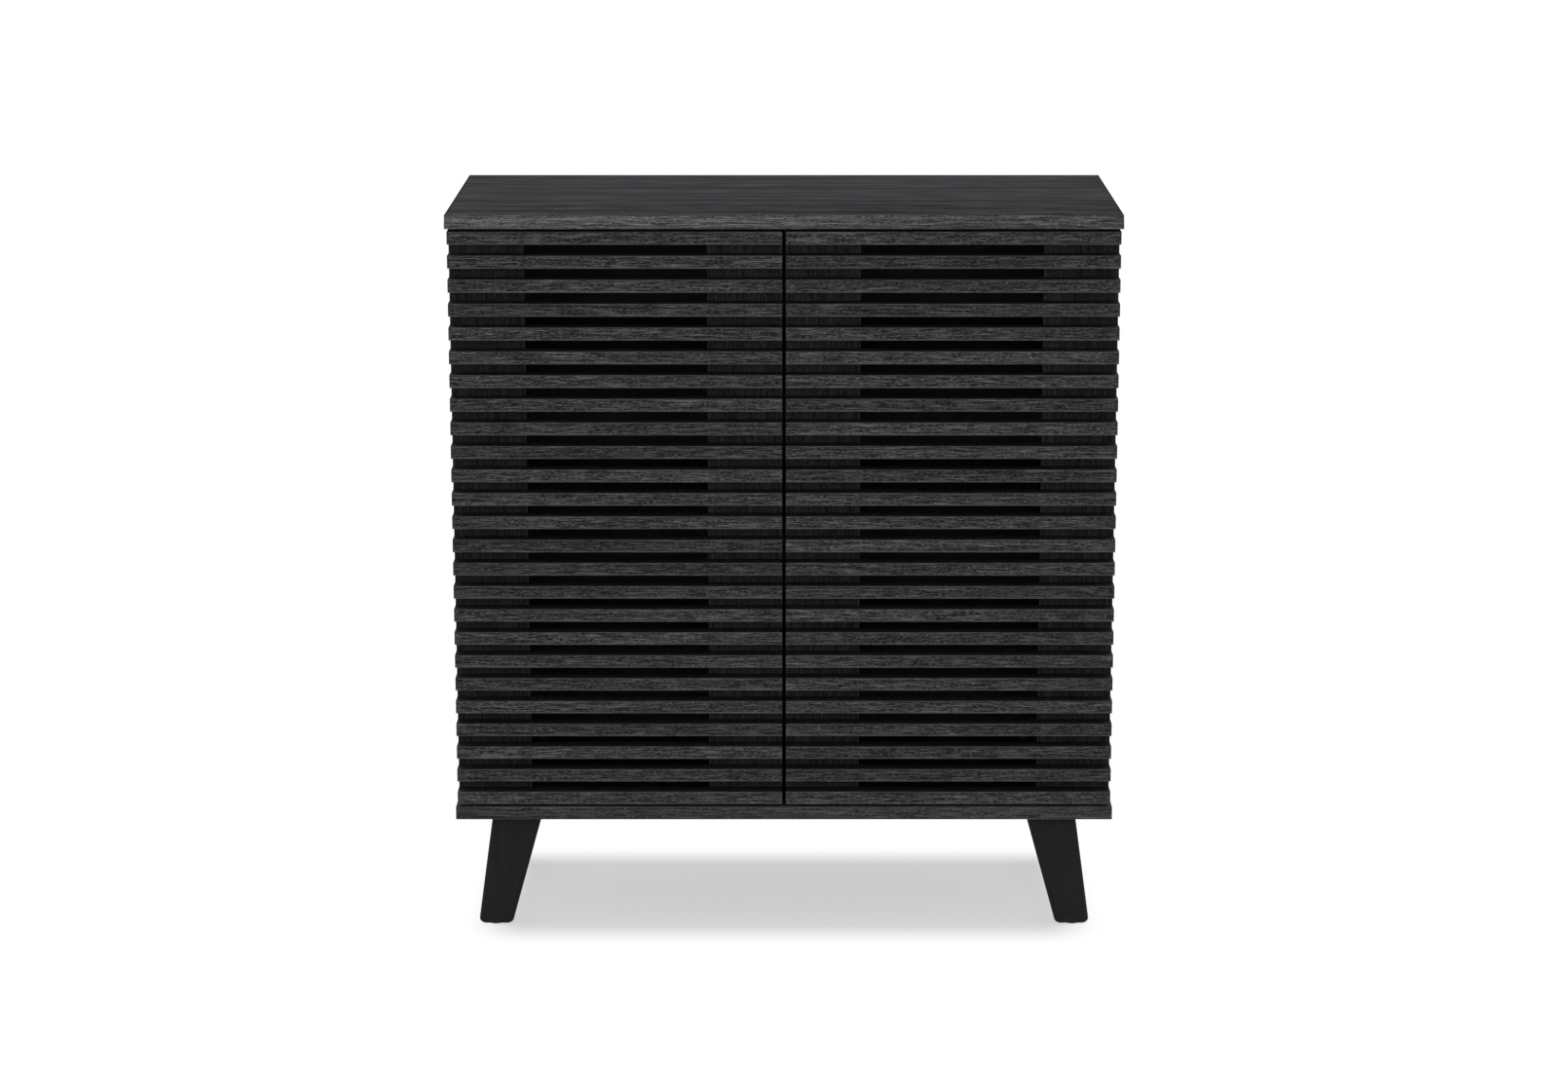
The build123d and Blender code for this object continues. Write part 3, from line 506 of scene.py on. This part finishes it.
for hand in ("left", "right"):
    slats_low, slats_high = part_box(f"{hand}_slats")
    slat_front = slats_low[Y]
    slat_pitch = (slats_high[Z] - slats_low[Z] - slat_height) / (slat_count - 1)
    half_gap = (slat_pitch - slat_height) / 2
    finish = Finish(f"{hand}_slat_oak")
    y, z = finish.axes()[Y:]
    above_start = finish.combine("SUBTRACT", z, slats_low[Z] - half_gap)
    step = finish.combine("DIVIDE", above_start, slat_pitch)
    chance = finish.add("TexWhiteNoise", noise_dimensions="1D")
    number = finish.combine("FLOOR", step)
    finish.join(finish.combine("ADD", number, slat_lot[hand]), chance.inputs["W"])
    place = finish.shifted(finish.place, chance.outputs["Color"], slat_spread)
    tint, height = stained_grain(finish, place, X, SLAT_DARK, SLAT_MIDDLE, SLAT_LIGHT)
    tint = finish.toned(tint, finish.fade(chance.outputs["Value"], 0.0, 1.0, low=0.72, high=0.98))
    in_step = finish.combine("MULTIPLY", finish.combine("FRACT", step), slat_pitch)
    rise = finish.combine("SUBTRACT", in_step, half_gap)
    # Painted shade: the upper and lower narrow faces darken behind the front.
    narrow_shade = finish.combine(
        "MULTIPLY",
        at_edges(finish, rise, shade_edge, shade_edge),
        finish.fade(y, slat_front + shade_start, slat_front + shade_full, high=0.75),
    )
    # Painted highlight: paler lines along the upper and lower front arrises, broken up by noise.
    arris_highlight = finish.combine(
        "MULTIPLY",
        at_edges(finish, rise, upper_highlight, lower_highlight),
        finish.fade(y, slat_front + slat_arris, slat_front + highlight_full),
    )
    highlight_noise = finish.noise(along(X, 35.0, 300.0), detail=3.0, place=place)
    highlighted = finish.combine("MULTIPLY", arris_highlight, finish.fade(highlight_noise, 0.30, 0.62, low=0.25, high=0.7))
    tint = finish.mix(highlighted, finish.mix(narrow_shade, tint, SLAT_SHADE), SLAT_HIGHLIGHT)
    stained_surface(finish, tint, height, strength=0.35, distance=0.0006)
    dress(f"{hand}_slats", finish)

# Screws: plated wood screws with a cross recess, driven from behind into the slats and the doors
# and from inside into the side panels, and a machine screw that clamps each hinge arm on its plate.

RECESS_SHADE = colour(40, 40, 42)


def crossed_heads(name, first, second, arm):
    """Plated screws whose heads show a dark cross of painted shade for the recess, where both head
    distances are small.
    """
    finish = plated(name, STEEL_DARK, STEEL_LIGHT, steel_rough)
    across, upward = first(finish), second(finish)
    half_width = 0.00045
    side_blur, end_blur = 0.00012, 0.00015
    bars = []
    for thin, long in ((across, upward), (upward, across)):
        bars.append(finish.combine(
            "MULTIPLY",
            finish.fade(finish.combine("ABSOLUTE", thin), half_width + side_blur, half_width - side_blur),
            finish.fade(finish.combine("ABSOLUTE", long), arm + end_blur, arm - end_blur),
        ))
    # Painted shade: the cross recess in each head is a dark cross in the colour.
    finish.cover(finish.combine("MAXIMUM", *bars), RECESS_SHADE)
    return finish


def box_middle(node, axis):
    """Where the middle of a node's box lies on one axis."""
    low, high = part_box(node)
    return (low[axis] + high[axis]) / 2


def half_span(node, axis):
    """Half the length of a node's box along one axis."""
    low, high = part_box(node)
    return (high[axis] - low[axis]) / 2


slat_screw_head = 0.0034
column_reach = half_span("left_slat_screws", X) - slat_screw_head
first_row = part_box("left_slat_screws")[0][Z] + slat_screw_head
door_middle = box_middle("left_hinge_plates", Z)
arm_head = half_span("left_arm_screws", Y)
hinge_reach = half_span("left_arm_screws", Z) - arm_head
plate_head = half_span("left_plate_screws", Y)
plate_spread = half_span("left_plate_screws", Z) - plate_head - hinge_reach
cup_head = half_span("left_cup_screws", X)
cup_spread = half_span("left_cup_screws", Z) - cup_head - hinge_reach


def from_plane(node, axis):
    """Distance from the plane across one axis through the middle of a node's box."""
    return lambda finish: finish.combine("SUBTRACT", finish.axes()[axis], box_middle(node, axis))


def from_side(node):
    """Distance from an upright plane through a left node's middle, or from its mirror image."""
    def out(finish):
        from_cabinet_middle = finish.combine("ABSOLUTE", finish.axes()[X])
        return finish.combine("SUBTRACT", from_cabinet_middle, abs(box_middle(node, X)))
    return out


def from_hinge(spread):
    """Height from the nearest screw of the nearest hinge."""
    def height(finish):
        from_middle = finish.combine("SUBTRACT", finish.axes()[Z], door_middle)
        from_screws = finish.combine("SUBTRACT", finish.combine("ABSOLUTE", from_middle), hinge_reach)
        return finish.combine("SUBTRACT", finish.combine("ABSOLUTE", from_screws), spread)
    return height


def from_column(finish):
    """Distance from the nearer of a door's two columns of slat screws."""
    from_door_middle = from_side("left_slat_screws")(finish)
    return finish.combine("SUBTRACT", finish.combine("ABSOLUTE", from_door_middle), column_reach)


def from_row(finish):
    """Height from the nearest row of slat screws."""
    above_start = finish.combine("SUBTRACT", finish.axes()[Z], first_row - slat_pitch / 2)
    part = finish.combine("FRACT", finish.combine("DIVIDE", above_start, slat_pitch))
    return finish.combine("MULTIPLY", finish.combine("SUBTRACT", part, 0.5), slat_pitch)


slat_arm, cup_arm, plate_arm, clamp_arm = 0.0020, 0.0015, 0.0024, 0.0024
screws = {
    "slat_screws": crossed_heads("slat_screw_steel", from_column, from_row, slat_arm),
    "cup_screws": crossed_heads(
        "cup_screw_steel", from_side("left_cup_screws"), from_hinge(cup_spread), cup_arm
    ),
    "plate_screws": crossed_heads(
        "plate_screw_steel", from_plane("left_plate_screws", Y), from_hinge(plate_spread), plate_arm
    ),
    "arm_screws": crossed_heads(
        "arm_screw_steel", from_plane("left_arm_screws", Y), from_hinge(0.0), clamp_arm
    ),
}
for hand in ("left", "right"):
    for screw, finish in screws.items():
        dress(f"{hand}_{screw}", finish)

# Floor: a plain pale studio floor that runs out of sight. Under the cabinet it keeps the soft
# shadow, and further out it shows as white to the camera.

FLOOR_DARK = grey(245)
FLOOR_LIGHT = grey(250)
WHITE = (1.0, 1.0, 1.0, 1.0)
floor_half = 9.0
shadow_half_width = 0.32
shadow_half_depth = 0.115
shadow_middle_y = -0.02
shadow_edge = 0.08
shadow_white = 0.47       # share of plain white in the middle of the shadow


def seen_directly(network):
    """1 where a ray comes straight from the camera, a mirror or a pane, and 0 for other light."""
    path = network.add("LightPath")
    seen = network.combine("MAXIMUM", path.outputs["Is Camera Ray"], path.outputs["Is Glossy Ray"])
    return network.combine("MAXIMUM", seen, path.outputs["Is Transmission Ray"])


floor_mesh = bpy.data.meshes.new("floor")
form = bmesh.new()
bmesh.ops.create_grid(form, x_segments=1, y_segments=1, size=floor_half)
form.to_mesh(floor_mesh)
form.free()
floor = bpy.data.objects.new("floor", floor_mesh)
bpy.context.collection.objects.link(floor)
floor_finish = Finish("pale_floor")
floor_cloud = floor_finish.noise(1.5, detail=3.0)
floor_finish.surface(
    Base_Color=floor_finish.ramp(floor_cloud, (0.3, FLOOR_DARK), (0.7, FLOOR_LIGHT)),
    Roughness=0.9,
    Specular_IOR_Level=0.0,
)
floor_x, floor_y = floor_finish.axes()[:Z]
outside = []
for value, half in (
    (floor_x, shadow_half_width),
    (floor_finish.combine("SUBTRACT", floor_y, shadow_middle_y), shadow_half_depth),
):
    past = floor_finish.combine("SUBTRACT", floor_finish.combine("ABSOLUTE", value), half)
    past = floor_finish.combine("MAXIMUM", past, 0.0)
    outside.append(floor_finish.combine("MULTIPLY", past, past))
from_shadow = floor_finish.combine("SQRT", floor_finish.combine("ADD", *outside))
whiteness = floor_finish.fade(from_shadow, 0.0, shadow_edge, low=shadow_white)
floor_glow = floor_finish.add("Emission")
floor_glow.inputs["Color"].default_value = WHITE
floor_glow.inputs["Strength"].default_value = 1.0
floor_mix = floor_finish.add("MixShader")
glowing = floor_finish.combine("MULTIPLY", seen_directly(floor_finish), whiteness)
floor_finish.join(glowing, floor_mix.inputs["Fac"])
floor_finish.join(floor_finish.shader.outputs["BSDF"], floor_mix.inputs[1])
floor_finish.join(floor_glow.outputs["Emission"], floor_mix.inputs[2])
floor_output = floor_finish.tree.nodes["Material Output"]
floor_finish.join(floor_mix.outputs["Shader"], floor_output.inputs["Surface"])
floor_mesh.materials.append(floor_finish.material)

# Studio light: a white surround, a weak soft box over the cabinet for the top and the shadow, and
# a broad one in front, above the camera, which lights the slats and reaches in between them.

surround_light = 0.55
surround_seen = 1.0
world = bpy.data.worlds.new("studio")
bpy.context.scene.world = world
world.use_nodes = True
sky = Network(world.node_tree)
sky.tree.nodes.clear()
surround = sky.add("Background")
surround.inputs["Color"].default_value = WHITE
level = sky.fade(seen_directly(sky), 0.0, 1.0, low=surround_light, high=surround_seen)
sky.join(level, surround.inputs["Strength"])
sky.join(surround.outputs["Background"], sky.add("OutputWorld").inputs["Surface"])


def soft_box(name, place, target, width, height, power):
    """A rectangular lamp that faces a point and isn't seen itself."""
    lamp = bpy.data.lights.new(name, "AREA")
    lamp.shape = "RECTANGLE"
    lamp.size = width
    lamp.size_y = height
    lamp.energy = power
    made = bpy.data.objects.new(name, lamp)
    made.location = place
    made.rotation_euler = (Vector(target) - Vector(place)).to_track_quat("-Z", "Y").to_euler()
    made.visible_camera = False
    made.visible_glossy = False
    bpy.context.collection.objects.link(made)


cabinet_middle = (0.0, 0.0, 0.45)
soft_box("overhead", (0.0, -0.4, 3.2), cabinet_middle, width=2.6, height=1.8, power=5.0)
soft_box("front", (0.0, -4.6, 1.9), cabinet_middle, width=3.2, height=1.4, power=78.0)

# Camera: in front of the cabinet and above its top, tilted down a little, with a long lens. It
# stands further off than the photograph's did, which keeps the cabinet's sides nearly upright.

lens_mm = 84.6
sensor_mm = 36.0
frame_shift = -0.02
camera_distance = 4.3
camera_height = 1.5
camera_tilt = math.radians(12.6)
view_end = 60.0
camera_data = bpy.data.cameras.new("camera")
camera_data.sensor_width = sensor_mm
camera_data.lens = lens_mm
camera_data.shift_y = frame_shift
camera_data.clip_end = view_end
camera = bpy.data.objects.new("camera", camera_data)
camera.location = (0.0, cad_low[Y] - camera_distance, camera_height)
camera.rotation_euler = (math.pi / 2 - camera_tilt, 0.0, 0.0)
bpy.context.collection.objects.link(camera)
bpy.context.scene.camera = camera
bpy.context.scene.view_settings.view_transform = "Standard"
